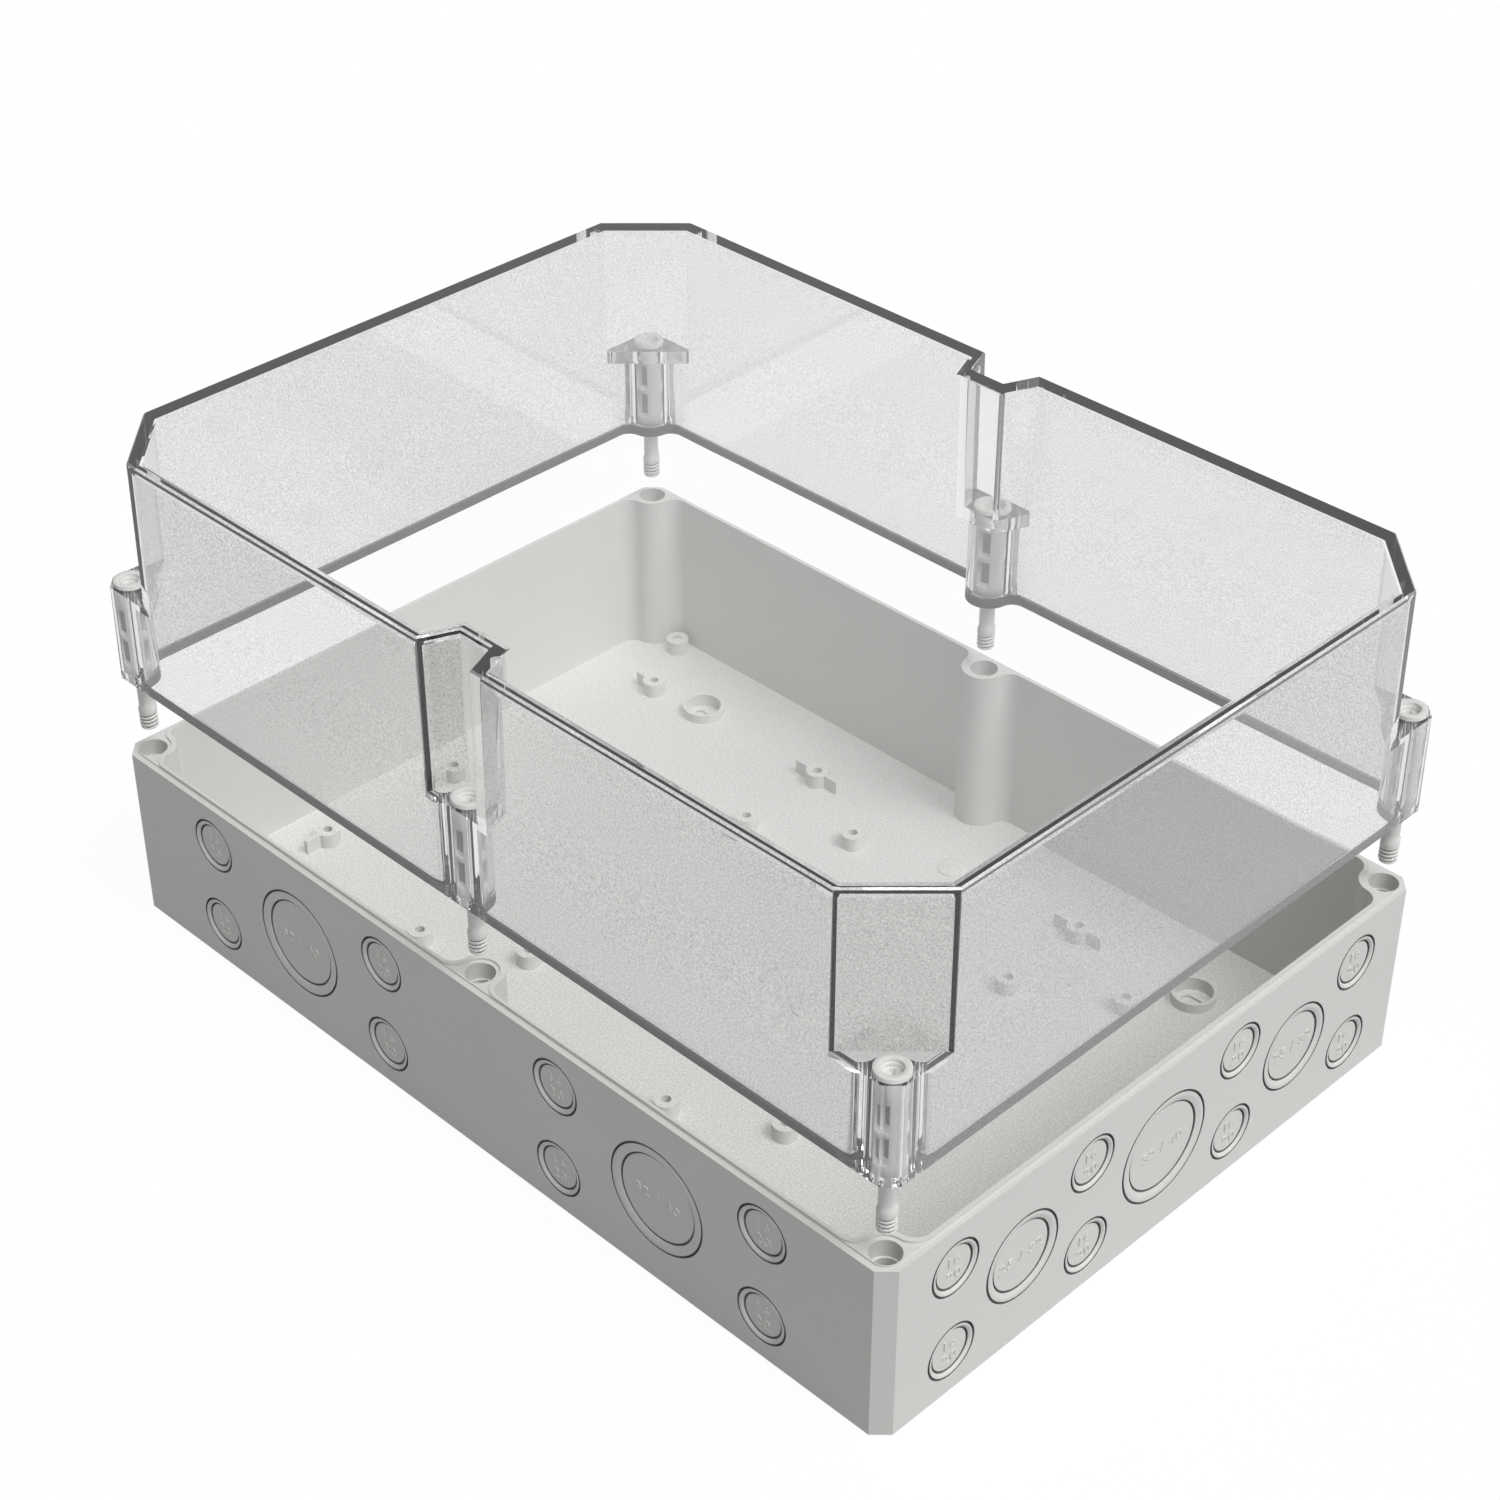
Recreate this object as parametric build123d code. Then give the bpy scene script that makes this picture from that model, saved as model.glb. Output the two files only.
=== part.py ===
"""Polycarbonate enclosure: base with knockouts, clear lift-off cover with its seal, and six captive screws.

The cover is drawn lifted straight up off the base, with its screws hanging in it. Millimetres, +X along the
long side, +Z up, origin at the middle of the base's underside.
"""

import os
from math import hypot, radians, sqrt, tan

from build123d import *

# Base shell
length = 361.0
width = 253.3
base_height = 67.1  # underside to the ledge that runs round the rim
base_wall = 3.2
base_floor = 3.2
corner_cut = 5.0  # leg of the 45 degree cut down each outer corner
foot_edge = 0.8  # small chamfer round the underside

# Rim: a ledge outside, a lip inside that the seal presses on, and a raised pad round each screw hole
ledge_width = 2.07
lip_height = 1.4
pad_height = 0.6
pad_radius = 6.35

# Screw columns of the base
screw_inset = 7.35  # screw axis to the outer faces
column_radius = 8.2
column_blend = 5.5  # hollow fillet between a column and the wall
mouth_radius = 5.0
mouth_depth = 6.3
socket_radius = 4.3
socket_depth = 23.5

# Knockouts: a shallow dish whose side falls to a thin disc, stepped half way on the larger ones
knockout_step = 0.3
knockout_depth = 0.6
small_knockout = (10.2, 7.4)  # radius of the rim and of the disc, with the step's between them
medium_knockout = (16.2, 12.8, 12.0)
large_knockout = (20.15, 16.2, 15.1)
knockout_middle = 34.1  # height of the middle row
knockout_rise = 16.95  # the small ones stand this far above and below it
long_side_group = 86.7  # large knockout from the middle of a long side
long_side_reach = 44.8  # small knockouts on each side of it
short_side_group = 66.5  # medium knockout from the middle of a short side
short_side_reach = 30.6

# Floor bosses and wells
boss_radius = 4.4
boss_hole_radius = 1.7
boss_height = 5.7
boss_hole_depth = 6.0
boss_pitch = 125.0  # every pair of bosses stands this far apart along X
plate_middle = (8.6, -1.1)
plate_spread = 107.1
rail_boss_upper = (43.6, 72.5)
rail_boss_lower = (-26.9, -74.0)
fin_boss_middle = (7.5, -0.8)
fin_boss_spread = 184.2
end_boss_inset = 22.0  # single bosses along the left end, from the outer face
end_boss_rows = (-60.2, -0.2)
corner_boss_inset = (38.0, 36.9)  # single boss near the back left corner, from the outer faces
stop_boss_inset = (22.8, 9.6)  # boss beside the back left column, with a dimple instead of a hole
dimple_depth = 1.0
fin_reach = 10.4  # boss axis to the end of a fin
corner_fin_reach = 9.0
fin_thickness = 1.8
well_middle = (1.8, 0.0)
well_pitch = (240.6, 186.8)
well_radius = 8.0
well_wall = 1.2
well_height = 3.8
well_sink = 1.4  # floor of a well below the enclosure's floor
slot_length = 9.0
slot_width = 4.6
slot_skin = 0.8  # thin skin left under each fixing slot

# Clear cover
lift = 30.4  # how far the cover is drawn above its seat
cover_gap = 0.3  # cover's lower edge inside the base's faces
cover_draft = 0.63  # degrees, each outer and inner face
cover_height = 91.3  # skirt to top
cover_wall = 3.8
screw_ledge = 36.2  # skirt to the ledges that the screw heads show on
cover_cut = 24.4  # leg of the cut at each upper corner
notch_mouth = 22.3
notch_back = 11.9
notch_room = 0.1  # screw bore to the back of the notch
post_radius = 8.2
post_blend = 5.0
post_floor = 3.6
skirt_above_foot = 1.0
skirt_wall = 1.3

# Seal
seal_height = 3.5
seal_bore = 6.2  # the seal swerves round each post's foot at this radius
foot_radius = 6.1

# Captive screws
head_radius = 5.5
head_height = 5.0  # solid stretch above the pockets
head_proud = 1.3
shank_radius = 3.15
screw_reach = 25.7  # underside of the head to the tip
tip_round = 0.9
body_play = 0.1
bore_play = 0.15
shank_play = 0.4
drive_radius = 3.35
drive_depth = 2.6
drive_bar = 1.4
pocket_width = 3.3
pocket_height = 9.9
pocket_depth = 3.0
pocket_gap = 2.0
cam_reach = 4.0
cam_width = 2.4
cam_height = 6.5
cam_lift = 0.8  # tip to the lower end of the cam

# Heights and places that follow from them
half_length = length / 2
half_width = width / 2
pad_top = base_height + pad_height
lip_top = base_height + lip_height
foot_z = pad_top + lift
skirt_z = foot_z + skirt_above_foot
cover_top = skirt_z + cover_height
ledge_z = skirt_z + screw_ledge
seal_top = foot_z + seal_height
bore_radius = head_radius + bore_play
ledge_inset = cover_gap + screw_ledge * tan(radians(cover_draft))
notch_depth = screw_inset + bore_radius + notch_room - ledge_inset
body_z = foot_z + post_floor + body_play
head_top = ledge_z + head_proud
corner_boss = (corner_boss_inset[0] - half_length, half_width - corner_boss_inset[1])
stop_boss = (stop_boss_inset[0] - half_length, half_width - stop_boss_inset[1])
screw_x = half_length - screw_inset
screw_y = half_width - screw_inset
screw_places = {
    "front_left": (-screw_x, -screw_y),
    "front_middle": (0, -screw_y),
    "front_right": (screw_x, -screw_y),
    "back_left": (-screw_x, screw_y),
    "back_middle": (0, screw_y),
    "back_right": (screw_x, screw_y),
}


def plan(inset, cut):
    """Rectangle of the enclosure moved in by inset, with 45 degree corner cuts that keep the wall even."""
    leg = cut - inset * (2 - sqrt(2))
    return chamfer(Rectangle(length - 2 * inset, width - 2 * inset).vertices(), leg)


def rounded_plan(inset):
    """Rectangle moved in by inset, its corners rounded about the corner screws."""
    return fillet(Rectangle(length - 2 * inset, width - 2 * inset).vertices(), screw_inset - inset)


def inside_of(line, reach, blend):
    """Region inside a line that swerves inwards round each screw at the radius reach, with blended bends."""
    region = line
    for place in screw_places.values():
        region -= Pos(*place) * Circle(reach)
    return fillet(region.vertices(), blend)


def prism(sketch, low, high):
    """Straight prism of a plan between two heights."""
    return extrude(Pos(0, 0, low) * sketch, high - low)


def knockout(sizes):
    """Cutter for one knockout, rim at z=0: a dished ring, a step where there is one, and a disc."""
    rim, *step, disc = sizes
    points = [(0, 0), (rim, 0)] + [(radius, -knockout_step) for radius in step]
    points += [(disc, -knockout_depth), (0, -knockout_depth)]
    return revolve(make_face(Plane.XZ * Polyline(*points, close=True)), Axis.Z)


def side_knockouts(group, reach, middles):
    """Knockouts of one side: groups of four small ones round a middle one, and others on the middle line."""
    cutters = []
    for side in (-1, 1):
        for along in (-1, 1):
            for up in (-1, 1):
                place = (side * group + along * reach, knockout_middle + up * knockout_rise)
                cutters.append(Pos(*place) * knockout(small_knockout))
    for place, sizes in middles:
        cutters.append(Pos(place, knockout_middle) * knockout(sizes))
    return cutters


def base_shell():
    """Base moulding: box, columns, rim, knockouts, bosses and fixing wells."""
    cavity = inside_of(plan(base_wall, corner_cut), column_radius, column_blend)
    lip_line = inside_of(rounded_plan(ledge_width), pad_radius, column_blend + base_wall - ledge_width)
    body = prism(plan(0, corner_cut), 0, base_height)
    body = chamfer(body.faces().sort_by(Axis.Z)[0].edges(), foot_edge)
    body += prism(rounded_plan(ledge_width) - lip_line, base_height, pad_top)
    body += prism(lip_line - cavity, base_height, lip_top)
    body -= prism(cavity, base_floor, lip_top)
    body += floor_features()
    for place in drilled_boss_places():
        body -= Pos(*place, base_floor + boss_height) * Cylinder(boss_hole_radius, 2 * boss_hole_depth)
    body -= Pos(*stop_boss, base_floor + boss_height) * Cylinder(boss_hole_radius, 2 * dimple_depth)
    for place in screw_places.values():
        body -= Pos(*place, pad_top) * Cylinder(mouth_radius, 2 * mouth_depth)
        body -= Pos(*place, pad_top - socket_depth) * Cylinder(
            socket_radius, socket_depth, align=(Align.CENTER, Align.CENTER, Align.MIN)
        )
    body -= well_floors()

    long_middles = [(-long_side_group, large_knockout), (long_side_group, large_knockout)]
    short_middles = [(-short_side_group, medium_knockout), (short_side_group, medium_knockout)]
    short_middles.append((0, large_knockout))
    long_side = side_knockouts(long_side_group, long_side_reach, long_middles)
    short_side = side_knockouts(short_side_group, short_side_reach, short_middles)
    for turn, distance, cutters in (
        (0, half_width, long_side),
        (90, half_length, short_side),
        (180, half_width, long_side),
        (270, half_length, short_side),
    ):
        face = Rot(0, 0, turn) * Pos(0, -distance, 0) * Rot(90, 0, 0)
        body -= [face * cutter for cutter in cutters]
    return body


def pairs(middle, spread=None):
    """Places a boss pitch apart about a middle, in one row or in two rows a spread apart."""
    rows = (0,) if spread is None else (-spread / 2, spread / 2)
    return [(middle[0] + side * boss_pitch / 2, middle[1] + row) for row in rows for side in (-1, 1)]


def well_places():
    """The four fixing wells in the floor."""
    return [
        (well_middle[0] + side * well_pitch[0] / 2, well_middle[1] + end * well_pitch[1] / 2)
        for side in (-1, 1)
        for end in (-1, 1)
    ]


def end_boss_places():
    """The two single bosses along the left end."""
    return [(-half_length + end_boss_inset, row) for row in end_boss_rows]


def drilled_boss_places():
    """Bosses with a screw hole: pairs for a plate, for rails and along the long walls, and single ones."""
    places = pairs(plate_middle, plate_spread) + pairs(rail_boss_upper) + pairs(rail_boss_lower)
    return places + pairs(fin_boss_middle, fin_boss_spread) + end_boss_places() + [corner_boss]


def fins():
    """Plans of the fins: both ways along X on the long walls' bosses, one way on the single bosses."""
    fin_along = Rectangle(2 * fin_reach, fin_thickness)
    fin_across = Rectangle(fin_thickness, fin_reach, align=(Align.CENTER, Align.MAX))
    corner_fin = Rectangle(corner_fin_reach, fin_thickness, align=(Align.MAX, Align.CENTER))
    plans = [Pos(*place) * fin_along for place in pairs(fin_boss_middle, fin_boss_spread)]
    plans += [Pos(*place) * fin_across for place in end_boss_places()]
    return plans + [Pos(*corner_boss) * corner_fin]


def floor_features():
    """Bosses, their fins and the rings round the fixing wells, rooted in the floor."""
    root = base_floor / 2
    top = base_floor + boss_height
    bosses = [Pos(*place) * Circle(boss_radius) for place in drilled_boss_places() + [stop_boss]]
    features = [prism(plan, root, top) for plan in bosses + fins()]
    ring = Circle(well_radius) - Circle(well_radius - well_wall)
    features += [prism(Pos(*place) * ring, root, base_floor + well_height) for place in well_places()]
    return Part() + features


def well_floors():
    """Cutters that sink the floor of each well, with a slot down to a thin skin that a fixing breaks."""
    hollow = Circle(well_radius - well_wall)
    slot = SlotOverall(slot_length, slot_width)
    cutters = []
    for place in well_places():
        cutters.append(prism(Pos(*place) * hollow, base_floor - well_sink, base_floor + 1))
        cutters.append(prism(Pos(*place) * slot, slot_skin, base_floor))
    return Part() + cutters


def cover_inset(z):
    """How far the cover's outer faces stand inside the base's faces at a height, from their draft."""
    return cover_gap + (z - skirt_z) * tan(radians(cover_draft))


def notched_plan(inset):
    """Plan of the cover above its screw ledges: cut corners and a tapering notch in each long side."""
    slope = (notch_mouth - notch_back) / 2 / notch_depth
    shift = inset * (hypot(1, slope) - slope)
    x = half_length - inset
    y = half_width - inset
    leg = cover_cut - inset * (2 - sqrt(2))
    mouth = notch_mouth / 2 + shift
    back = notch_back / 2 + shift
    quarter = [(back, y - notch_depth), (mouth, y), (x - leg, y), (x, y - leg)]
    half = quarter + [(px, -py) for px, py in reversed(quarter)]
    points = half + [(-px, py) for px, py in reversed(half)]
    return make_face(Polyline(*points, close=True))


def tapered(section, low, high, wall=0.0):
    """Drafted block between two heights, from a plan that is a function of its inset."""
    low_face = Pos(0, 0, low) * section(cover_inset(low) + wall)
    high_face = Pos(0, 0, high) * section(cover_inset(high) + wall)
    return loft([low_face, high_face], ruled=True)


def clear_cover():
    """Cover moulding: drafted lower box, narrower upper box, screw posts and the rebate for the seal."""

    def lower_plan(inset):
        return plan(inset, corner_cut)

    plate_z = ledge_z - cover_wall
    body = tapered(lower_plan, skirt_z, ledge_z) + tapered(notched_plan, ledge_z, cover_top)
    lower_room = tapered(lower_plan, skirt_z, plate_z, cover_wall)
    lower_room &= prism(inside_of(plan(cover_wall, corner_cut), post_radius, post_blend), skirt_z, plate_z)
    body -= lower_room
    body -= tapered(notched_plan, plate_z, cover_top - cover_wall, cover_wall)
    body -= prism(seal_outer_line(), skirt_z, seal_top)
    for place in screw_places.values():
        body += prism(Pos(*place) * Circle(foot_radius), foot_z, seal_top)
    for place in screw_places.values():
        body -= prism(Pos(*place) * Circle(bore_radius), foot_z + post_floor, cover_top)
        body -= prism(Pos(*place) * Circle(shank_radius + shank_play), foot_z, cover_top)
    return body


def seal_outer_line():
    """Inside of the skirt, swerving round each post's foot."""
    return inside_of(rounded_plan(cover_gap + skirt_wall), seal_bore, post_blend + cover_wall - skirt_wall)


def cover_seal():
    """Flat foam seal from the skirt to the inside of the cover's wall."""
    inner = inside_of(plan(cover_gap + cover_wall, corner_cut), post_radius, post_blend)
    return prism(seal_outer_line() - inner, foot_z, seal_top)


def screw():
    """One captive screw about the Z axis: long head with cored sides and a slotted drive, shank and cam."""
    tip_z = body_z - screw_reach
    profile = Polyline(
        (0, tip_z),
        (shank_radius - tip_round, tip_z),
        (shank_radius, tip_z + tip_round),
        (shank_radius, body_z),
        (head_radius, body_z),
        (head_radius, head_top),
        (drive_radius, head_top),
        (drive_radius, head_top - drive_depth),
        (0, head_top - drive_depth),
        close=True,
    )
    body = revolve(make_face(Plane.XZ * profile), Axis.Z)
    body += Pos(0, 0, head_top - drive_depth) * Box(
        2 * drive_radius, drive_bar, drive_depth / 2, align=(Align.CENTER, Align.CENTER, Align.MIN)
    )
    middle = (body_z + head_top - head_height) / 2
    for row in (-1, 1):
        height = middle + row * (pocket_height + pocket_gap) / 2
        for turn in range(4):
            pocket = Pos(head_radius, 0, height) * Box(2 * pocket_depth, pocket_width, pocket_height)
            body -= Rot(0, 0, 90 * turn) * pocket
    cam = Pos(0, 0, tip_z + cam_lift) * Box(
        cam_reach, cam_width, cam_height, align=(Align.MIN, Align.CENTER, Align.MIN)
    )
    return body + cam


os.makedirs("parts", exist_ok=True)
export_step(base_shell(), "parts/base_shell.step")
export_step(clear_cover(), "parts/clear_cover.step")
export_step(cover_seal(), "parts/cover_seal.step")
for name, place in screw_places.items():
    export_step(Pos(*place) * screw(), f"parts/screw_{name}.step")
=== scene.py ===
"""Looks of a polycarbonate wall enclosure: grey base with knockouts, clear cover, captive screws."""

import math

import bmesh
import bpy
import numpy as np
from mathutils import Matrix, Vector


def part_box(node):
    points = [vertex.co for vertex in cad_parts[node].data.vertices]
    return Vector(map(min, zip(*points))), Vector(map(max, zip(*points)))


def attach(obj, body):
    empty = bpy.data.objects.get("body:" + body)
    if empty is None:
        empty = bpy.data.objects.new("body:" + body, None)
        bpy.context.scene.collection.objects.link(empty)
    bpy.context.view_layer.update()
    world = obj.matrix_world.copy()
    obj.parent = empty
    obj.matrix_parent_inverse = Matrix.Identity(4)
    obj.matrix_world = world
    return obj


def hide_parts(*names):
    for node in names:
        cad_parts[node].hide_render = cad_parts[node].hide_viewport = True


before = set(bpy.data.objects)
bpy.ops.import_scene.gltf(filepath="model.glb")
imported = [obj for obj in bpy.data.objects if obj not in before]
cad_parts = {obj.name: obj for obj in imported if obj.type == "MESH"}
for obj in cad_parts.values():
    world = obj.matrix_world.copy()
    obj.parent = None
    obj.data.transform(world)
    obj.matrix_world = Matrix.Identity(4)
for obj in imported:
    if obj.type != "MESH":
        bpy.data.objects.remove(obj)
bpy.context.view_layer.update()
scene = bpy.context.scene

# The view: a camera that looks down on the front right corner, as in an isometric picture but with
# perspective. Its place and lens come from the edges of the enclosure in the photograph.
camera_place = Vector((0.568759, -0.569419, 0.662987))
camera_turn = math.radians(45)
camera_fall = math.radians(35.264)
lens_pixels = 2974.588
frame_pixels = 1500
camera_data = bpy.data.cameras.new("camera")
camera_data.sensor_width = 36
camera_data.lens = lens_pixels / frame_pixels * camera_data.sensor_width
camera_data.shift_x = 0.00135
camera_data.shift_y = -0.0005
camera = bpy.data.objects.new("camera", camera_data)
camera.location = camera_place
camera.rotation_euler = (math.pi / 2 - camera_fall, 0, camera_turn)
scene.collection.objects.link(camera)
scene.camera = camera
scene.view_settings.view_transform = "Standard"


def new_material(name):
    """An empty node material, its node tree and its output node."""
    material = bpy.data.materials.new(name)
    material.use_nodes = True
    tree = material.node_tree
    tree.nodes.clear()
    output = tree.nodes.new("ShaderNodeOutputMaterial")
    return material, tree, output


def math_node(tree, operation, *inputs):
    """Output of a new maths node, whose inputs are sockets or plain numbers."""
    node = tree.nodes.new("ShaderNodeMath")
    node.operation = operation
    for socket, given in zip(node.inputs, inputs):
        if isinstance(given, (int, float)):
            socket.default_value = given
        else:
            tree.links.new(given, socket)
    return node.outputs[0]


def looked_at(tree):
    """Mask that is 1 for rays of sight, also through clear plastic or off gloss, and 0 for rays of light."""
    rays = tree.nodes.new("ShaderNodeLightPath").outputs
    straight = math_node(tree, "MAXIMUM", rays["Is Camera Ray"], rays["Is Glossy Ray"])
    return math_node(tree, "MAXIMUM", straight, rays["Is Transmission Ray"])


# The light: an even white room, one large soft lamp from the upper right that lights the end wall more than
# the front, and fills that cast no shadow, because the walls hardly shade the inside in the photograph.
world = bpy.data.worlds.new("studio")
world.use_nodes = True
scene.world = world
tree = world.node_tree
tree.nodes.clear()
room_light = tree.nodes.new("ShaderNodeBackground")
room_light.inputs["Strength"].default_value = 0.25
room_light.inputs["Color"].default_value = (1, 1, 1, 1)
backdrop = tree.nodes.new("ShaderNodeBackground")
backdrop.inputs["Strength"].default_value = 1.0
backdrop.inputs["Color"].default_value = (1, 1, 1, 1)
mix = tree.nodes.new("ShaderNodeMixShader")
tree.links.new(looked_at(tree), mix.inputs[0])
tree.links.new(room_light.outputs[0], mix.inputs[1])
tree.links.new(backdrop.outputs[0], mix.inputs[2])
tree.links.new(mix.outputs[0], tree.nodes.new("ShaderNodeOutputWorld").inputs["Surface"])

key_side = (0.57, 0.09, 0.816)
front_side = (0.3, -0.85, 0.43)
for name, energy, direction, shadow in (
    ("soft_lamp", 1.85, key_side, True),
    ("soft_lamp_fill", 1.35, key_side, False),
    ("front_fill", 0.15, front_side, False),
):
    lamp_data = bpy.data.lights.new(name, "SUN")
    lamp_data.energy = energy
    lamp_data.angle = math.radians(35)
    lamp_data.use_shadow = shadow
    lamp = bpy.data.objects.new(name, lamp_data)
    lamp.rotation_euler = Vector(direction).to_track_quat("Z", "Y").to_euler()
    scene.collection.objects.link(lamp)

# The floor: a plain white sheet that the base stands on, and that keeps its shadow.
floor_half = 3.0
floor_level = -0.0002  # a hair under the base, so that the two don't share a plane
floor_mesh = bpy.data.meshes.new("floor")
corners = [(-1, -1), (1, -1), (1, 1), (-1, 1)]
floor_points = [(x * floor_half, y * floor_half, floor_level) for x, y in corners]
floor_mesh.from_pydata(floor_points, [], [(0, 1, 2, 3)])
floor = bpy.data.objects.new("floor", floor_mesh)
scene.collection.objects.link(floor)
floor_material, tree, output = new_material("white_floor")
grey_paper = tree.nodes.new("ShaderNodeBsdfDiffuse")
grey_paper.inputs["Color"].default_value = (0.44, 0.44, 0.44, 1)
bright_paper = tree.nodes.new("ShaderNodeBsdfDiffuse")
bright_paper.inputs["Color"].default_value = (0.9, 0.9, 0.9, 1)
white = tree.nodes.new("ShaderNodeEmission")
white.inputs["Strength"].default_value = 1.0
sheet = tree.nodes.new("ShaderNodeMixShader")
sheet.inputs[0].default_value = 0.93
mix = tree.nodes.new("ShaderNodeMixShader")
tree.links.new(bright_paper.outputs[0], sheet.inputs[1])
tree.links.new(white.outputs[0], sheet.inputs[2])
tree.links.new(looked_at(tree), mix.inputs[0])
tree.links.new(grey_paper.outputs[0], mix.inputs[1])
tree.links.new(sheet.outputs[0], mix.inputs[2])
tree.links.new(mix.outputs[0], output.inputs["Surface"])
floor_mesh.materials.append(floor_material)

# Base: one deep box moulded in light grey polycarbonate. Its walls carry round knockouts for cable glands:
# each is a thin disc inside two ring grooves with a slope between them, and carries the gland's size.
mm = 0.001
base_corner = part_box("base_shell")[1]
corner_cut = 5.0 * mm
wall_foot = 0.8 * mm  # small chamfer round the underside
wall_top = 67.1 * mm  # ledge of the rim, where the outer walls end
dish_depth = 0.6 * mm  # of the plain dishes in the solid model, which these knockouts take the place of
panel_skin = dish_depth + 0.05 * mm
groove_width = 0.8 * mm
inner_groove = 0.7 * mm
groove_depth = 1.8 * mm
slope_share = 0.55  # of the ring between the grooves
slope_depth = 0.6 * mm
disc_depth = 0.8 * mm
groove_round = 0.1 * mm
small_spokes = 72
large_spokes = 108
knockout_middle = 34.1 * mm
knockout_rise = 16.95 * mm
small_knockout = (10.2 * mm, 8.0 * mm)  # radius of the outer groove's rim and of the inner groove's
medium_knockout = (16.2 * mm, 12.8 * mm)
large_knockout = (20.15 * mm, 16.2 * mm)


def side_layout(group, reach, middles):
    """Places and sizes of one side's knockouts: groups of four small ones, and others on the middle line."""
    layout = []
    for side in (-1, 1):
        for along in (-1, 1):
            for up in (-1, 1):
                place = (side * group + along * reach, knockout_middle + up * knockout_rise)
                layout.append((place, small_knockout))
    return layout + [((along, knockout_middle), sizes) for along, sizes in middles]


long_group = 86.7 * mm
short_group = 66.5 * mm
long_side = side_layout(long_group, 44.8 * mm, [(-long_group, large_knockout), (long_group, large_knockout)])
short_middles = [(-short_group, medium_knockout), (0, large_knockout), (short_group, medium_knockout)]
short_side = side_layout(short_group, 30.6 * mm, short_middles)
sides = [
    (0, base_corner.y, long_side),
    (1, base_corner.x, short_side),
    (2, base_corner.y, long_side),
    (3, base_corner.x, short_side),
]


def on_side(quarter, distance, along, inward, up):
    """Points along a side, into it and up it, turned by quarter turns about Z: side 0 faces -Y."""
    x, y = along, inward - distance
    for _ in range(quarter):
        x, y = -y, x
    return np.stack([x, y, up], axis=-1)


def knockout_profile(rim, inner_rim):
    """Radius and depth from the disc out to the wall: disc, inner groove, slope, flat ring and outer groove.

    Each lit corner is two points about groove_round apart, so that it catches light as a moulded edge does.
    """
    bite = groove_round
    hole = inner_rim - inner_groove
    land = rim - groove_width
    slope_width = slope_share * (land - inner_rim)
    slope_top = inner_rim + slope_width
    return np.array(
        [
            (hole - bite, disc_depth),
            (hole, disc_depth + bite),
            (hole, groove_depth),
            (inner_rim, groove_depth),
            (inner_rim, slope_depth + bite),
            (inner_rim + bite, slope_depth - bite),
            (slope_top - bite, bite * slope_depth / slope_width),
            (slope_top + bite, 0),
            (land - bite, 0),
            (land, bite),
            (land, groove_depth),
            (rim, groove_depth),
            (rim, bite),
            (rim + bite, 0),
        ]
    )


# Which strips of the profile line a groove, from the disc outwards; these strips get painted shade.
groove_rings = np.array([0, 1, 1, 1, 0, 0, 0, 0, 0, 1, 1, 1, 0], bool)


def revolved(profile, spokes):
    """Surface of revolution on a grid of rings by spokes, closed by a flat face inside the first ring.

    Point of ring k at angle a: radius_k * (cos a, sin a) and depth_k.
    """
    angle = np.arange(spokes) * 2 * math.pi / spokes
    along = profile[:, :1] * np.cos(angle)
    up = profile[:, :1] * np.sin(angle)
    depth = np.repeat(profile[:, 1:], spokes, axis=1)
    ring, spoke = np.meshgrid(np.arange(len(profile) - 1), np.arange(spokes), indexing="ij")
    near = ring * spokes + spoke
    near_next = ring * spokes + (spoke + 1) % spokes
    quads = np.stack([near, near + spokes, near_next + spokes, near_next], axis=-1).reshape(-1, 4)
    return along.ravel(), depth.ravel(), up.ravel(), quads.tolist() + [list(range(spokes))]


def merged_triangles(mesh, steps=1e6):
    """Corner points and triangles of a mesh, with the points in the same step of a fine grid made one.

    The grid has the given number of steps to the unit.
    """
    mesh.calc_loop_triangles()
    points = np.zeros(len(mesh.vertices) * 3)
    mesh.vertices.foreach_get("co", points)
    corners = np.zeros(len(mesh.loop_triangles) * 3, int)
    mesh.loop_triangles.foreach_get("vertices", corners)
    grid = np.round(points.reshape(-1, 3) * steps).astype(int)
    _, first, same = np.unique(grid, axis=0, return_index=True, return_inverse=True)
    triangles = same.ravel()[corners].reshape(-1, 3)
    real = (triangles != np.roll(triangles, 1, axis=1)).all(axis=1)
    return points.reshape(-1, 3)[first], triangles[real]


points, triangles = merged_triangles(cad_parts["base_shell"].data)
middle_x, middle_y, middle_z = np.abs(points[triangles].mean(axis=1)).T
on_long = (middle_y > base_corner.y - panel_skin) & (middle_x < base_corner.x - corner_cut)
on_short = (middle_x > base_corner.x - panel_skin) & (middle_y < base_corner.y - corner_cut)
on_panel = (on_long | on_short) & (middle_z > wall_foot) & (middle_z < wall_top)
triangles = triangles[~on_panel]

all_points = [points]
all_faces = triangles.tolist()
groove_shade_mask = [False] * len(all_faces)
count = len(points)
for quarter, distance, layout in sides:
    for place, sizes in layout:
        spokes = small_spokes if sizes is small_knockout else large_spokes
        along, depth, up, faces = revolved(knockout_profile(*sizes), spokes)
        groove_shade_mask += np.repeat(groove_rings, spokes).tolist() + [False]
        all_points.append(on_side(quarter, distance, place[0] + along, depth, place[1] + up))
        all_faces += (np.array(faces[:-1]) + count).tolist() + [[i + count for i in faces[-1]]]
        count += len(along)
base_mesh = bpy.data.meshes.new("base_moulding")
base_mesh.from_pydata(np.concatenate(all_points), [], all_faces)
smooth_slot, grained_slot, groove_shade_slot = 0, 1, 2
base_mesh.polygons.foreach_set("material_index", np.where(groove_shade_mask, groove_shade_slot, smooth_slot))
same_plane = 0.01 * mm
shell = bmesh.new()
shell.from_mesh(base_mesh)
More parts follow.
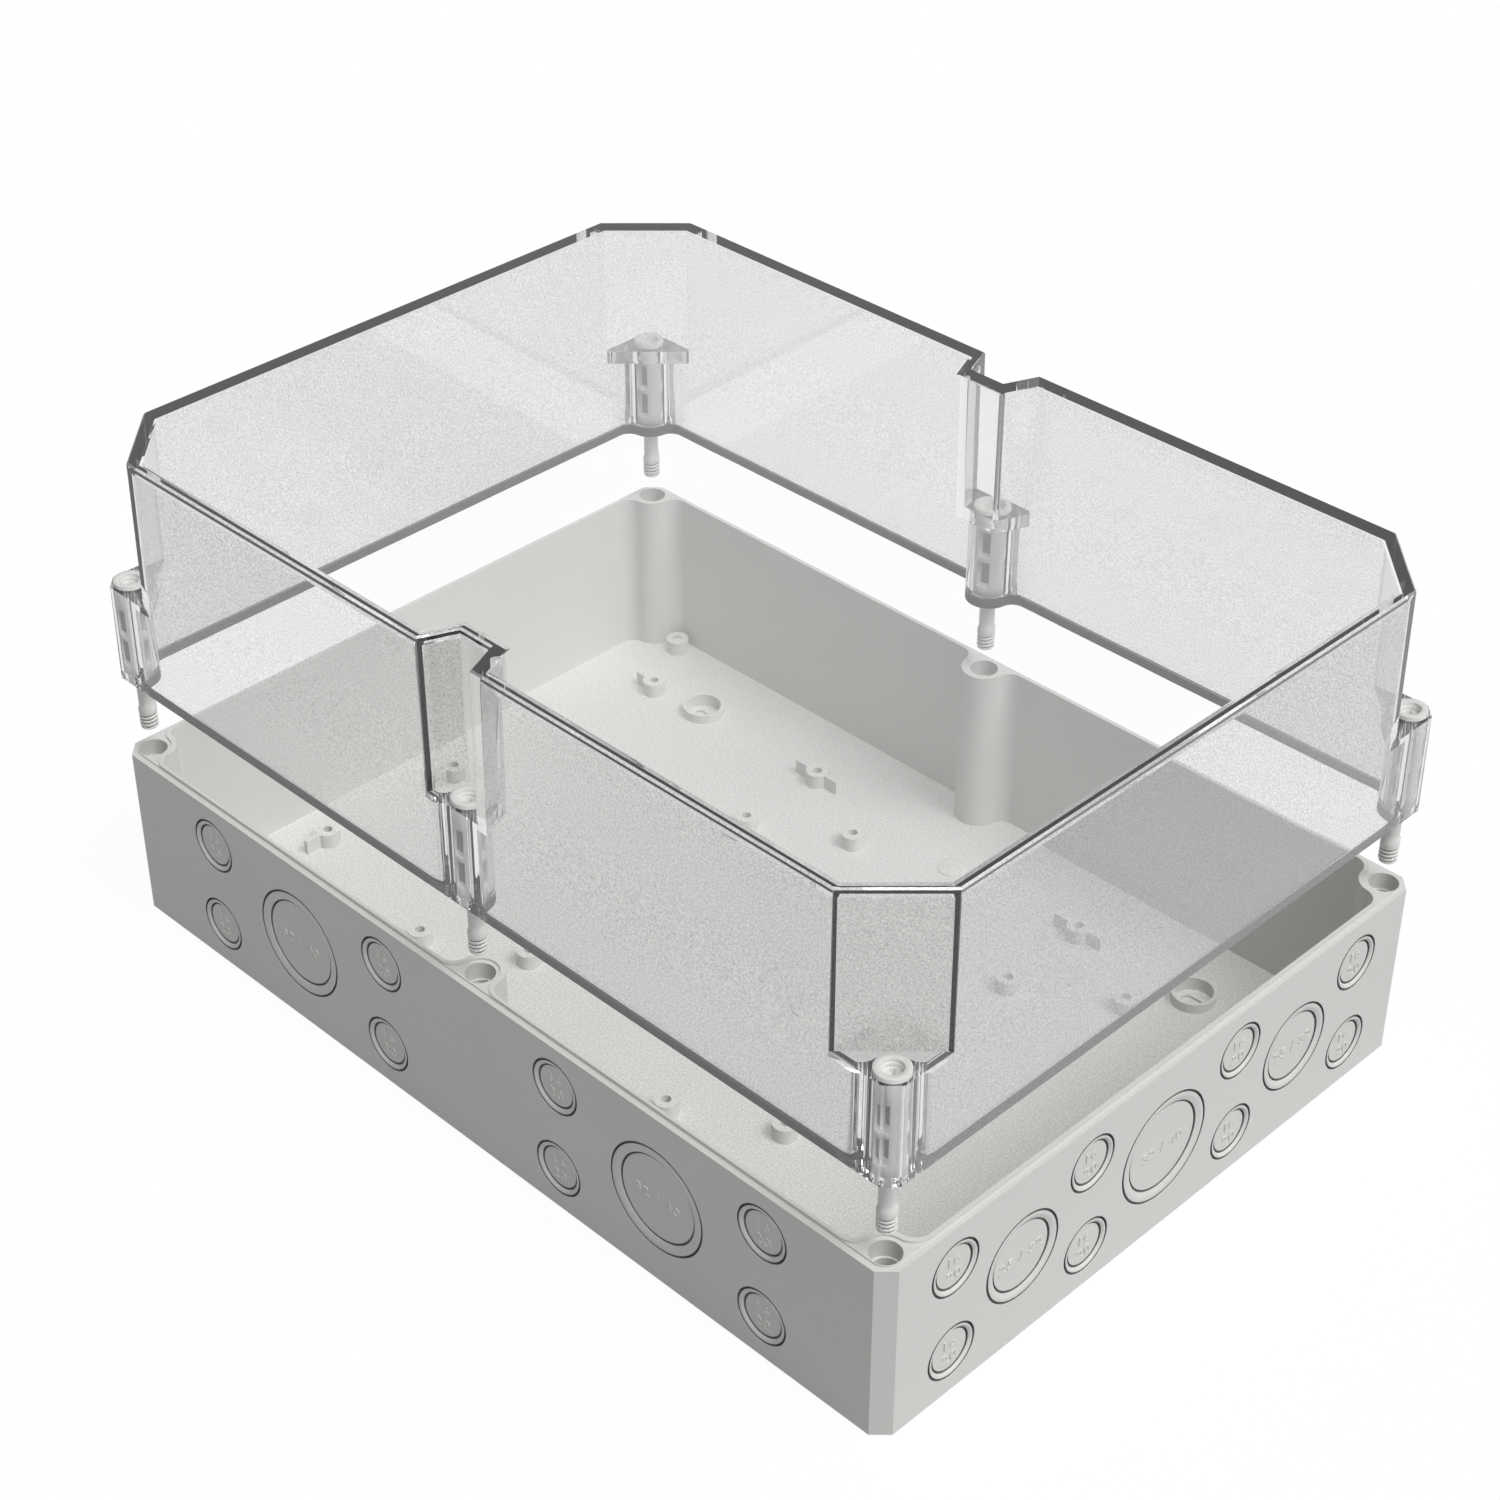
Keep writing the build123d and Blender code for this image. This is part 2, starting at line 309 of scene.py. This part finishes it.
bmesh.ops.delete(shell, geom=[v for v in shell.verts if not v.link_faces], context="VERTS")
for quarter, distance, _ in sides:
    outward = Vector(on_side(quarter, 0.0, 0.0, -1.0, 0.0))
    border = [
        edge
        for edge in shell.edges
        if edge.is_boundary and all(abs(v.co.dot(outward) - distance) < same_plane for v in edge.verts)
    ]
    filled = bmesh.ops.triangle_fill(shell, use_beauty=True, edges=border)["geom"]
    for face in filled:
        if isinstance(face, bmesh.types.BMFace) and face.normal.dot(outward) < 0:
            face.normal_flip()
shell.to_mesh(base_mesh)
shell.free()
base_mesh.shade_smooth()
crease = math.radians(32)
base_mesh.set_sharp_from_angle(angle=crease)
base = bpy.data.objects.new("base_moulding", base_mesh)
scene.collection.objects.link(base)
even_shading = base.modifiers.new("even_shading", "WEIGHTED_NORMAL")
even_shading.keep_sharp = True

# The numbers of the gland sizes stand out a little from the disc of each knockout.
digit_height = 3.6 * mm
digit_stretch = 1.2
digit_relief = 0.35 * mm
digit_root = 0.15 * mm
line_pitch = 5.7 * mm


def raised_words(words):
    """Points and faces of words as a solid plate, x along them, y up, z from the root to the relief."""
    curve = bpy.data.curves.new("words", "FONT")
    curve.body = words
    curve.align_x = "CENTER"
    curve.extrude = 0.5  # to both sides, so the plate is 1 thick before it is scaled
    curve.offset = 0.012
    curve.space_character = 1.15
    curve.resolution_u = 3
    holder = bpy.data.objects.new("words", curve)
    scene.collection.objects.link(holder)
    mesh = bpy.data.meshes.new_from_object(holder.evaluated_get(bpy.context.evaluated_depsgraph_get()))
    points, triangles = merged_triangles(mesh, 1e4)
    bpy.data.objects.remove(holder)
    bpy.data.meshes.remove(mesh)
    bpy.data.curves.remove(curve)
    low, high = points.min(axis=0), points.max(axis=0)
    points = points - [(low[0] + high[0]) / 2, (low[1] + high[1]) / 2, 0]
    scale = digit_height / (high[1] - low[1])
    size = [digit_stretch * scale, scale, digit_relief + digit_root]
    return points * size + [0, 0, (digit_relief - digit_root) / 2], triangles


marks = {
    small_knockout: [("16", line_pitch / 2), ("20", -line_pitch / 2)],
    medium_knockout: [("25 / 32", 0)],
    large_knockout: [("32 / 40", 0)],
}
words = {text: raised_words(text) for lines in marks.values() for text, _ in lines}
all_points = []
all_faces = []
count = 0
for quarter, distance, layout in sides:
    for place, sizes in layout:
        for text, rise in marks[sizes]:
            points, triangles = words[text]
            x, y, z = points.T
            all_points.append(on_side(quarter, distance, place[0] + x, disc_depth - z, place[1] + rise + y))
            all_faces.append(triangles + count)
            count += len(points)
number_mesh = bpy.data.meshes.new("size_numbers")
number_mesh.from_pydata(np.concatenate(all_points), [], np.concatenate(all_faces))
numbers = bpy.data.objects.new("size_numbers", number_mesh)
scene.collection.objects.link(numbers)

# Two low round pads of the same moulding on the floor, where the plastic ran into the mould. Each is a disc
# with a rounded rim whose foot stands in the floor.
pad_profile = np.array([(5.0, 0.4), (5.15, 0.35), (5.2, 0.2), (5.2, -0.3)]) * mm
pad_places = [(31.6 * mm, -1.5 * mm), (16.1 * mm, 87.8 * mm)]
pad_spokes = 96
base_wall = 3.2 * mm
all_points = []
all_faces = []
for x, y in pad_places:
    along, rise, across, faces = revolved(pad_profile, pad_spokes)
    faces.append(list(range(len(along) - 1, len(along) - 1 - pad_spokes, -1)))
    all_faces += [[i + len(all_points) * len(along) for i in face] for face in faces]
    all_points.append(np.stack([x + along, y + across, base_wall + rise], axis=-1))
pad_mesh = bpy.data.meshes.new("floor_pads")
pad_mesh.from_pydata(np.concatenate(all_points), [], all_faces)
pad_mesh.shade_smooth()
pad_mesh.set_sharp_from_angle(angle=crease)
pads = bpy.data.objects.new("floor_pads", pad_mesh)
scene.collection.objects.link(pads)

# Material of the base: satin, with a fine spark-eroded grain on the faces inside that look up. The grooves
# hardly get light, so their faces are coloured a dark grey instead: painted shade.
grain_group = bpy.data.node_groups.new("fine_grain", "ShaderNodeTree")
grain_group.interface.new_socket("Size", in_out="INPUT", socket_type="NodeSocketFloat")
grain_group.interface.new_socket("Value", in_out="OUTPUT", socket_type="NodeSocketFloat")
group_in = grain_group.nodes.new("NodeGroupInput")
group_out = grain_group.nodes.new("NodeGroupOutput")
where = grain_group.nodes.new("ShaderNodeTexCoord")
speckle = grain_group.nodes.new("ShaderNodeTexNoise")
speckle.inputs["Detail"].default_value = 1.0
grain_group.links.new(where.outputs["Object"], speckle.inputs["Vector"])
fineness = math_node(grain_group, "DIVIDE", 1.0, group_in.outputs["Size"])
grain_group.links.new(fineness, speckle.inputs["Scale"])
spread = math_node(grain_group, "MULTIPLY_ADD", speckle.outputs["Fac"], 4.0, -2.0)
grain_group.links.new(spread, group_out.inputs["Value"])


def grain(tree, size):
    """Speckle of the given size in metres, about -1 to 1."""
    node = tree.nodes.new("ShaderNodeGroup")
    node.node_tree = grain_group
    node.inputs["Size"].default_value = size
    return node.outputs["Value"]


def grey(tree, level, warmth):
    """Colour socket of a grey level socket, with a little less blue."""
    colour = tree.nodes.new("ShaderNodeCombineColor")
    tree.links.new(level, colour.inputs["Red"])
    tree.links.new(level, colour.inputs["Green"])
    tree.links.new(math_node(tree, "MULTIPLY", level, warmth), colour.inputs["Blue"])
    return colour.outputs[0]


def moulded_plastic(name, level, speckle_depth, roughness):
    """Opaque light grey plastic with a faint cloudiness and a fine speckle in its colour and its surface."""
    material, tree, output = new_material(name)
    plastic = tree.nodes.new("ShaderNodeBsdfPrincipled")
    cloud = math_node(tree, "MULTIPLY_ADD", grain(tree, 60 * mm), 0.01, level)
    speck = grain(tree, 0.8 * mm)
    colour = math_node(tree, "MULTIPLY_ADD", speck, speckle_depth, cloud)
    tree.links.new(grey(tree, colour, 0.975), plastic.inputs["Base Color"])
    plastic.inputs["Roughness"].default_value = roughness
    bump = tree.nodes.new("ShaderNodeBump")
    bump.inputs["Strength"].default_value = 0.15
    bump.inputs["Distance"].default_value = 0.02 * mm
    tree.links.new(speck, bump.inputs["Height"])
    tree.links.new(bump.outputs[0], plastic.inputs["Normal"])
    tree.links.new(plastic.outputs[0], output.inputs["Surface"])
    return material


outside_material = moulded_plastic("base_plastic_satin", 0.578, 0.004, 0.55)
inside_material = moulded_plastic("base_plastic_grained", 0.575, 0.1, 0.6)
# painted shade: the knockouts' groove faces get this dark grey in place of the shadow that falls in them
groove_shade_material = moulded_plastic("base_plastic_painted_groove_shade", 0.15, 0.02, 0.6)
inside_x = base_corner.x - base_wall + 0.1 * mm
inside_y = base_corner.y - base_wall + 0.1 * mm
well_bottom = 1 * mm  # the bottoms of the fixing wells stay satin
for mesh in (base_mesh, number_mesh, pad_mesh):
    mesh.materials.append(outside_material)
    mesh.materials.append(inside_material)
    mesh.materials.append(groove_shade_material)
    for face in mesh.polygons:
        if face.material_index == groove_shade_slot:
            continue
        x, y, z = face.center
        inside = abs(x) < inside_x and abs(y) < inside_y and well_bottom < z < wall_top
        face.material_index = grained_slot if inside and face.normal.z > 0.5 else smooth_slot
for piece in (base, numbers, pads):
    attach(piece, "base")
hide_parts("base_shell")

# Seal: a dark strip of polyurethane foam, poured into the rebate round the cover's lower edge and foamed
# there. Its skin is dull and finely pitted.
seal_material, tree, output = new_material("seal_foam")
foam = tree.nodes.new("ShaderNodeBsdfPrincipled")
pits = grain(tree, 0.7 * mm)
foam_level = math_node(tree, "MULTIPLY_ADD", pits, 0.01, 0.06)
tree.links.new(grey(tree, foam_level, 0.97), foam.inputs["Base Color"])
foam.inputs["Roughness"].default_value = 0.8
pitted = tree.nodes.new("ShaderNodeBump")
pitted.inputs["Strength"].default_value = 0.4
pitted.inputs["Distance"].default_value = 0.05 * mm
tree.links.new(pits, pitted.inputs["Height"])
tree.links.new(pitted.outputs[0], foam.inputs["Normal"])
tree.links.new(foam.outputs[0], output.inputs["Surface"])
seal_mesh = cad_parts["cover_seal"].data
seal_mesh.materials.clear()
seal_mesh.materials.append(seal_material)

# Screws: six captive screws moulded in light grey polyamide. Each has a long head with cored windows and a
# slotted recess for the driver, a thin neck, and a collar with a short thread that bites in the base's
# column.
screw_boxes = {name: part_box(name) for name in sorted(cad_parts) if name.startswith("screw_")}
screw_places = {name: (low + high) / 2 for name, (low, high) in screw_boxes.items()}
middle_low, middle_high = screw_boxes["screw_front_middle"]
head_top = middle_high.z
head_radius = 5.5 * mm
head_foot = head_top - 34.8 * mm
head_solid = 5.0 * mm  # above the upper windows
tip_z = middle_low.z + 0.8 * mm
window_width = 3.8 * mm
window_height = 9.9 * mm
window_gap = 2.0 * mm
window_sink = 3.0 * mm
recess_radius = 3.35 * mm
recess_step = 0.45 * mm
recess_depth = 2.6 * mm
slot_half = (2.4 * mm, 0.85 * mm)
slot_depth = 1.6 * mm
slot_turn = math.radians(-63)
window_spokes = 5
between_spokes = 8
neck_radius = 2.75 * mm
neck_foot = 2.5 * mm  # above the collar's upper edge, where the neck is still level
collar_round = 0.35 * mm
collar_radius = 3.15 * mm
collar_rise = 9.2 * mm  # tip to the middle of the collar's oblique upper edge
collar_slant = 0.9 * mm
collar_band = 0.5 * mm  # rings this near to the collar's upper edge slant with it
thread_rise = 6.6 * mm
thread_pitch = 1.45 * mm
thread_bite = 0.5 * mm
thread_end = 0.2 * mm  # above the tip
tip_round = 1.1 * mm
tip_steps = 6
thread_rings = 48
deep_groove = 0.45  # share of the bite from where a groove gets painted shade


def screw_grid():
    """Screw about the Z axis, as one grid of rings from the slot's bottom to the tip by spokes round it.

    Head, neck and tip: radius_k * (cos a, sin a) at z_k. Slot: a ring held inside the slot's box. Windows:
    where both the ring and the spoke are inner ones, the point moves in to the window's flat floor, and the
    rings at a window's border are doubled, one for each level. Collar: its upper edge rises and falls by the
    slant times cos a. Thread: the radius dips by the bite halfway between whole numbers of pitches, counted
    by the height less a turn's share of the pitch, which makes a helix. The third output marks the faces on
    the window floors and deep in the thread's groove, which get painted shade.
    """
    edge = math.asin(window_width / 2 / head_radius)
    quarter = np.concatenate(
        [np.linspace(-edge, edge, window_spokes), np.linspace(edge, math.pi / 2 - edge, between_spokes)]
    )
    inner_spoke = np.tile(np.arange(len(quarter)) < window_spokes, 4)
    centre = np.repeat(np.arange(4) * math.pi / 2, len(quarter))
    angle = np.tile(quarter, 4) + centre
    middle = (head_foot + head_top - head_solid) / 2
    borders = [
        middle + side * (window_height + window_gap) / 2 + end * window_height / 2
        for side in (1, -1)
        for end in (1, -1)
    ]
    at_border = [((0, 1), (1, 0))[k % 2] for k in range(len(borders))]
    collar_z = tip_z + collar_rise
    thread_z = tip_z + thread_rise
    helix = np.linspace(thread_z, tip_z + tip_round, thread_rings)
    bend = np.linspace(0, math.pi / 2, tip_steps)[1:]
    rings = np.array(
        [
            (recess_radius, head_top - recess_depth - slot_depth, 0),
            (recess_radius, head_top - recess_depth, 0),
            (recess_radius - recess_step, head_top - recess_depth, 0),
            (recess_radius - recess_step, head_top - recess_depth / 2, 0),
            (recess_radius, head_top - recess_depth / 2, 0),
            (recess_radius, head_top, 0),
            (head_radius, head_top, 0),
        ]
        + [(head_radius, z, inner) for z, levels in zip(borders, at_border) for inner in levels]
        + [(head_radius, head_foot, 0), (neck_radius, head_foot, 0)]
        + [(neck_radius, collar_z + neck_foot, 0), (neck_radius, collar_z, 0)]
        + [(collar_radius, collar_z - collar_round, 0), (collar_radius, thread_z, 0)]
        + [(collar_radius, z, 0) for z in helix[1:]]
        + [
            (collar_radius - tip_round * (1 - math.cos(a)), tip_z + tip_round * (1 - math.sin(a)), 0)
            for a in bend
        ]
    )
    radius = np.repeat(rings[:, :1], len(angle), axis=1)
    z = np.repeat(rings[:, 1:2], len(angle), axis=1)
    turns = (z - thread_z) / thread_pitch - angle / (2 * math.pi)
    threaded = (z < thread_z) & (z > tip_z + thread_end)
    groove = (0.5 - 0.5 * np.cos(2 * math.pi * turns)) ** 2
    radius = radius - np.where(threaded, thread_bite * groove, 0)
    on_collar = np.abs(z - collar_z) < collar_band
    z = z + np.where(on_collar, collar_slant * np.cos(angle), 0)
    x, y = radius * np.cos(angle), radius * np.sin(angle)
    sunk = (rings[:, 2:] == 1) & inner_spoke
    out = np.where(sunk, head_radius - window_sink, radius * np.cos(angle - centre))
    side = radius * np.sin(angle - centre)
    x = np.where(sunk, out * np.cos(centre) - side * np.sin(centre), x)
    y = np.where(sunk, out * np.sin(centre) + side * np.cos(centre), y)
    along = np.clip(recess_radius * np.cos(angle - slot_turn), -slot_half[0], slot_half[0])
    across = np.clip(recess_radius * np.sin(angle - slot_turn), -slot_half[1], slot_half[1])
    x[:2] = along * math.cos(slot_turn) - across * math.sin(slot_turn)
    y[:2] = along * math.sin(slot_turn) + across * math.cos(slot_turn)
    count = len(angle)
    ring, spoke = np.meshgrid(np.arange(len(rings) - 1), np.arange(count), indexing="ij")
    near = ring * count + spoke
    near_next = ring * count + (spoke + 1) % count
    quads = np.stack([near, near + count, near_next + count, near_next], axis=-1).reshape(-1, 4)
    last = (len(rings) - 1) * count
    caps = [list(range(count)), list(range(last + count - 1, last - 1, -1))]
    deep = sunk | (threaded & (groove > deep_groove))
    deep = deep & np.roll(deep, -1, axis=1)
    shaded = deep[:-1] & deep[1:]
    return np.stack([x, y, z], axis=-1).reshape(-1, 3), quads.tolist() + caps, shaded.ravel()


screw_material = moulded_plastic("screw_plastic", 0.6, 0.01, 0.42)
# painted shade: window floors and deep thread grooves get this dark grey in place of the shadow in them
screw_painted_shade_material = moulded_plastic("screw_plastic_painted_recess_shade", 0.14, 0.01, 0.5)
screw_points, screw_faces, recess_painted_shade = screw_grid()
screw_turn = math.radians(18)
screw_crease = math.radians(50)
screw_round = 0.12 * mm
weld = 0.001 * mm
cosine, sine = math.cos(screw_turn), math.sin(screw_turn)
turned = np.array([[cosine, sine, 0], [-sine, cosine, 0], [0, 0, 1]])
for name, place in screw_places.items():
    screw_mesh = bpy.data.meshes.new(name + "_moulding")
    screw_mesh.from_pydata(screw_points @ turned + [place.x, place.y, 0], [], screw_faces)
    screw_mesh.polygons.foreach_set("material_index", np.append(recess_painted_shade, [False, False]).astype(int))
    shell = bmesh.new()
    shell.from_mesh(screw_mesh)
    bmesh.ops.remove_doubles(shell, verts=shell.verts, dist=weld)
    bmesh.ops.dissolve_degenerate(shell, edges=shell.edges, dist=weld)
    bmesh.ops.recalc_face_normals(shell, faces=shell.faces)
    sharp = [e for e in shell.edges if e.is_manifold and e.calc_face_angle() > screw_crease]
    bmesh.ops.bevel(
        shell, geom=sharp, offset=screw_round, segments=1, profile=0.5, affect="EDGES", clamp_overlap=True
    )
    shell.to_mesh(screw_mesh)
    shell.free()
    screw_mesh.shade_smooth()
    screw_mesh.set_sharp_from_angle(angle=screw_crease)
    screw_mesh.materials.append(screw_material)
    screw_mesh.materials.append(screw_painted_shade_material)
    screw = bpy.data.objects.new(name + "_moulding", screw_mesh)
    scene.collection.objects.link(screw)
    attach(screw, name)
    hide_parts(name)

# Cover: one deep moulding in clear polycarbonate, with a polished window on top and walls of a fine grain
# that veils what stands behind them. The mould leaves a small chamfer round the top, a larger chamfer under
# the window, and slightly rounded upright edges.
window_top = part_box("clear_cover")[1].z
window_wall = 3.8 * mm
grain_size = 0.6 * mm
ripple_size = 40 * mm
ripple_height = 0.004 * mm


def clear_material(name, level, speckle_depth, haze):
    """Clear plastic that lets lamp light by, speckled or faintly rippled, with a haze on its outside."""
    material, tree, output = new_material(name)
    clear = tree.nodes.new("ShaderNodeBsdfPrincipled")
    clear.inputs["Base Color"].default_value = (level, level, level, 1)
    if speckle_depth:
        colour = math_node(tree, "MULTIPLY_ADD", grain(tree, grain_size), speckle_depth, level)
        tree.links.new(grey(tree, math_node(tree, "MINIMUM", colour, 1.0), 1.0), clear.inputs["Base Color"])
    else:
        ripple = tree.nodes.new("ShaderNodeBump")
        ripple.inputs["Distance"].default_value = ripple_height
        tree.links.new(grain(tree, ripple_size), ripple.inputs["Height"])
        tree.links.new(ripple.outputs[0], clear.inputs["Normal"])
    clear.inputs["Roughness"].default_value = 0.0
    clear.inputs["IOR"].default_value = 1.585
    clear.inputs["Transmission Weight"].default_value = 1.0
    veil = tree.nodes.new("ShaderNodeBsdfAnisotropic")
    veil.inputs["Roughness"].default_value = 0.5
    veil.inputs["Color"].default_value = (0.94, 0.94, 0.94, 1)
    inside_hit = tree.nodes.new("ShaderNodeNewGeometry").outputs["Backfacing"]
    hazy = tree.nodes.new("ShaderNodeMixShader")
    tree.links.new(math_node(tree, "MULTIPLY_ADD", inside_hit, -haze, haze), hazy.inputs[0])
    tree.links.new(clear.outputs[0], hazy.inputs[1])
    tree.links.new(veil.outputs[0], hazy.inputs[2])
    see_through = tree.nodes.new("ShaderNodeBsdfTransparent")
    see_through.inputs["Color"].default_value = (0.985, 0.985, 0.985, 1)
    mix = tree.nodes.new("ShaderNodeMixShader")
    tree.links.new(looked_at(tree), mix.inputs[0])
    tree.links.new(see_through.outputs[0], mix.inputs[1])
    tree.links.new(hazy.outputs[0], mix.inputs[2])
    tree.links.new(mix.outputs[0], output.inputs["Surface"])
    return material


window_material = clear_material("clear_window", 0.98, 0, 0)
wall_material = clear_material("clear_walls", 0.745, 0.34, 0.2)
post_material = clear_material("clear_posts", 0.85, 0, 0.06)
post_reach = 10.0 * mm
screw_axes = [place.xy for place in screw_places.values()]

points, triangles = merged_triangles(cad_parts["clear_cover"].data)
cover_mesh = bpy.data.meshes.new("cover_moulding")
cover_mesh.from_pydata(points, [], triangles)
shell = bmesh.new()
shell.from_mesh(cover_mesh)
flat = math.radians(0.3)
bmesh.ops.dissolve_limit(shell, angle_limit=flat, verts=shell.verts, edges=shell.edges)
shell.normal_update()
top_chamfer = 0.65 * mm
inner_chamfer = 1.0 * mm
upright_round = 0.3 * mm
long_edge = 30 * mm
same_level = 0.1 * mm
blunt = math.radians(35)
kind = shell.edges.layers.int.new("kind_of_edge")
top_edge, inner_edge, upright_edge = 1, 2, 3
for edge in shell.edges:
    if not edge.is_manifold or edge.calc_face_angle() < blunt:
        continue
    heights = [v.co.z for v in edge.verts]
    if min(heights) > window_top - same_level:
        edge[kind] = top_edge
    elif max(abs(z - window_top + window_wall) for z in heights) < same_level:
        edge[kind] = inner_edge
    elif edge.calc_length() > long_edge:
        edge[kind] = upright_edge
for which, offset, segments in (
    (top_edge, top_chamfer, 1),
    (inner_edge, inner_chamfer, 1),
    (upright_edge, upright_round, 2),
):
    chosen = [edge for edge in shell.edges if edge[kind] == which]
    made = bmesh.ops.bevel(
        shell,
        geom=chosen,
        offset=offset,
        segments=segments,
        profile=0.5,
        affect="EDGES",
        clamp_overlap=False,
    )
    for edge in made["edges"]:
        edge[kind] = 0
shell.to_mesh(cover_mesh)
shell.free()
cover_mesh.materials.append(wall_material)
cover_mesh.materials.append(window_material)
cover_mesh.materials.append(post_material)
window_slot, post_slot = 1, 2
window_foot = window_top - window_wall - 1 * mm
for face in cover_mesh.polygons:
    if abs(face.normal.z) > 0.99 and face.center.z > window_foot:
        face.material_index = window_slot
    elif min((face.center.xy - axis).length for axis in screw_axes) < post_reach:
        face.material_index = post_slot
cover_mesh.shade_smooth()
cover_crease = math.radians(28)
cover_mesh.set_sharp_from_angle(angle=cover_crease)
cover = bpy.data.objects.new("cover_moulding", cover_mesh)
scene.collection.objects.link(cover)
even_shading = cover.modifiers.new("even_shading", "WEIGHTED_NORMAL")
even_shading.keep_sharp = True
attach(cover, "cover")
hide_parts("clear_cover")
